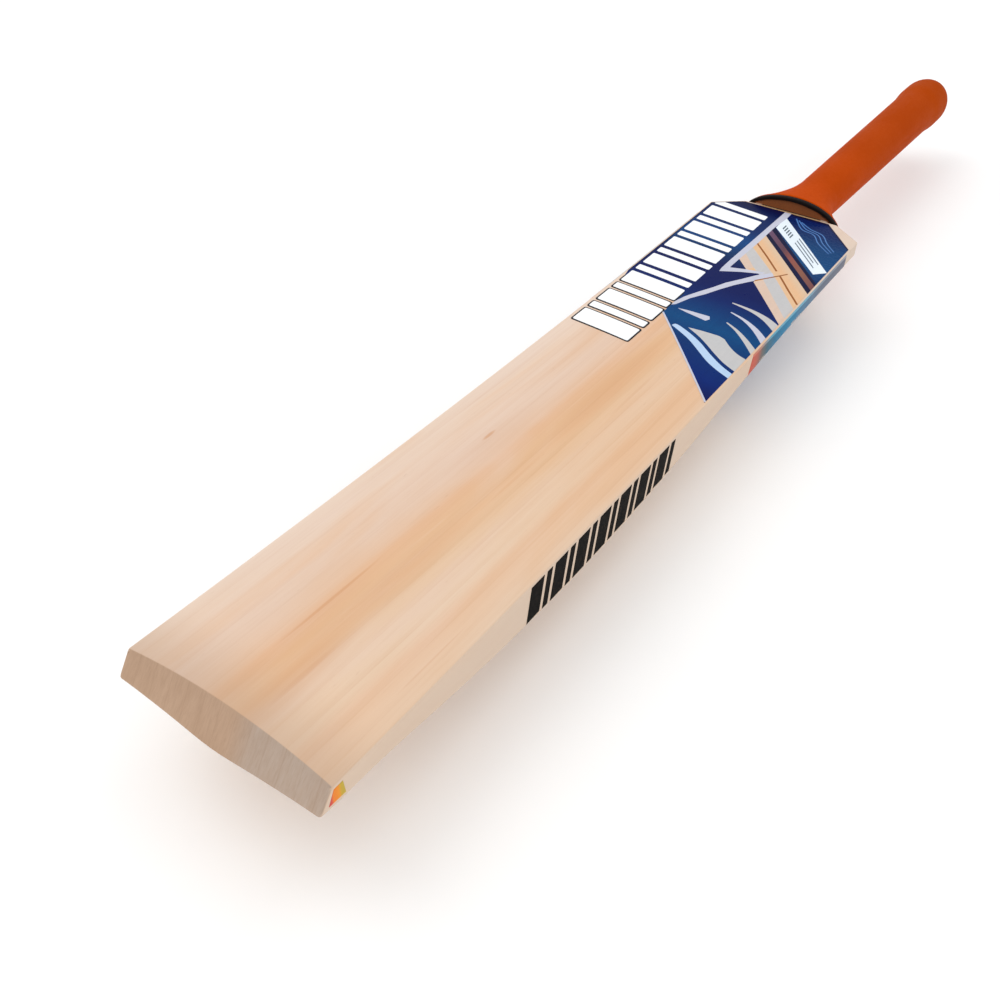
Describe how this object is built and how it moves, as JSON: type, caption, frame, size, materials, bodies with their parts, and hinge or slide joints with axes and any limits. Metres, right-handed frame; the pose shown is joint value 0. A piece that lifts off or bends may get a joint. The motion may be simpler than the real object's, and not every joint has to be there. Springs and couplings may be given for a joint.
{
  "type": "cricket bat",
  "caption": "Full-size short-handle cricket bat: willow blade with a ridged back, laminated cane handle spliced in, twine binding, rubber grip and plain vinyl labels.",
  "frame": {"origin": "bottom centre of the whole bat's box, with the bat lying on its ridged back and the playing face up", "axes": "+X across the blade, to the right as seen from the toe end with the face up; +Y along the bat from the toe to the top of the handle; +Z out of the playing face"},
  "size_m": [0.1083, 0.852, 0.0709],
  "materials": {
    "willow": "bare sanded and lightly oiled willow, straight grain along the blade, satin",
    "cane": "laminated cane, varnished",
    "insert_rubber": "black rubber strip",
    "twine": "waxed linen twine, wound tight and varnished",
    "grip_rubber": "smooth matt orange rubber",
    "collar_rubber": "black rubber ring",
    "vinyl_blue": "printed vinyl, navy to blue with silver, peach and white areas",
    "vinyl_white": "raised white vinyl bars with dark outlines",
    "vinyl_black": "black vinyl bars",
    "vinyl_cyan": "printed vinyl, orange-red through cyan to grey",
    "vinyl_orange": "small printed vinyl tab, pink, orange and yellow-green"
  },
  "bodies": {
    "root": {"blade": "willow", "cane_back_centre": "cane", "cane_back_left": "cane", "cane_back_right": "cane", "cane_front_centre": "cane", "cane_front_left": "cane", "cane_front_right": "cane", "cane_mid_back_centre": "cane", "cane_mid_back_left": "cane", "cane_mid_back_right": "cane", "cane_mid_front_centre": "cane", "cane_mid_front_left": "cane", "cane_mid_front_right": "cane", "grip_collar": "collar_rubber", "label_back": "vinyl_blue", "label_edge_left_bars": "vinyl_black", "label_edge_left_wrap": "vinyl_cyan", "label_edge_right_bars": "vinyl_black", "label_edge_right_wrap": "vinyl_cyan", "label_face": "vinyl_blue", "label_face_bars": "vinyl_white", "label_toe_tab": "vinyl_orange", "rubber_grip": "grip_rubber", "rubber_insert_back": "insert_rubber", "rubber_insert_front": "insert_rubber", "rubber_insert_middle": "insert_rubber", "twine_binding": "twine"}
  },
  "joints": []
}
